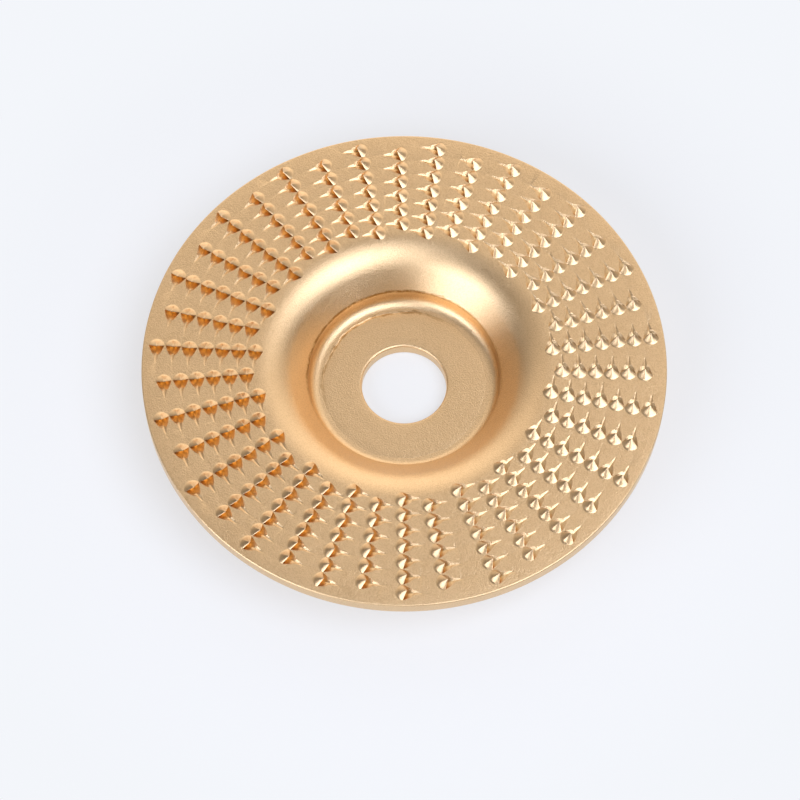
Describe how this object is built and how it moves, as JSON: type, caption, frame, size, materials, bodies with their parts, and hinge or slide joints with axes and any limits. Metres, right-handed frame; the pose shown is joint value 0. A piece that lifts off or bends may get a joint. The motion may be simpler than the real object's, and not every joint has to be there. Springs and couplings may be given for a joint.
{
  "type": "angle grinder carving disc",
  "caption": "Dished steel rasp disc for an angle grinder: radial rows of punched teeth on a flat outer ring around a recessed hub with a plain round spindle bore.",
  "frame": {"origin": "centre of the hub's back face, on the spindle axis", "axes": "+Z along the spindle axis towards the toothed face; +Y points away from the viewer of the picture, +X to the viewer's right"},
  "size_m": [0.098, 0.098, 0.0132],
  "materials": {
    "plate_gold": "satin gold coat on blasted steel",
    "tooth_gold": "gold coat, brighter on the worn points"
  },
  "bodies": {
    "root": {"disc_body": "plate_gold", "tooth_row_01": "tooth_gold", "tooth_row_02": "tooth_gold", "tooth_row_03": "tooth_gold", "tooth_row_04": "tooth_gold", "tooth_row_05": "tooth_gold", "tooth_row_06": "tooth_gold", "tooth_row_07": "tooth_gold", "tooth_row_08": "tooth_gold", "tooth_row_09": "tooth_gold", "tooth_row_10": "tooth_gold", "tooth_row_11": "tooth_gold", "tooth_row_12": "tooth_gold", "tooth_row_13": "tooth_gold", "tooth_row_14": "tooth_gold", "tooth_row_15": "tooth_gold", "tooth_row_16": "tooth_gold", "tooth_row_17": "tooth_gold", "tooth_row_18": "tooth_gold", "tooth_row_19": "tooth_gold", "tooth_row_20": "tooth_gold", "tooth_row_21": "tooth_gold", "tooth_row_22": "tooth_gold", "tooth_row_23": "tooth_gold", "tooth_row_24": "tooth_gold", "tooth_row_25": "tooth_gold", "tooth_row_26": "tooth_gold", "tooth_row_27": "tooth_gold", "tooth_row_28": "tooth_gold", "tooth_row_29": "tooth_gold", "tooth_row_30": "tooth_gold", "tooth_row_31": "tooth_gold", "tooth_row_32": "tooth_gold", "tooth_row_33": "tooth_gold", "tooth_row_34": "tooth_gold", "tooth_row_35": "tooth_gold", "tooth_row_36": "tooth_gold", "tooth_row_37": "tooth_gold", "tooth_row_38": "tooth_gold"}
  },
  "joints": []
}
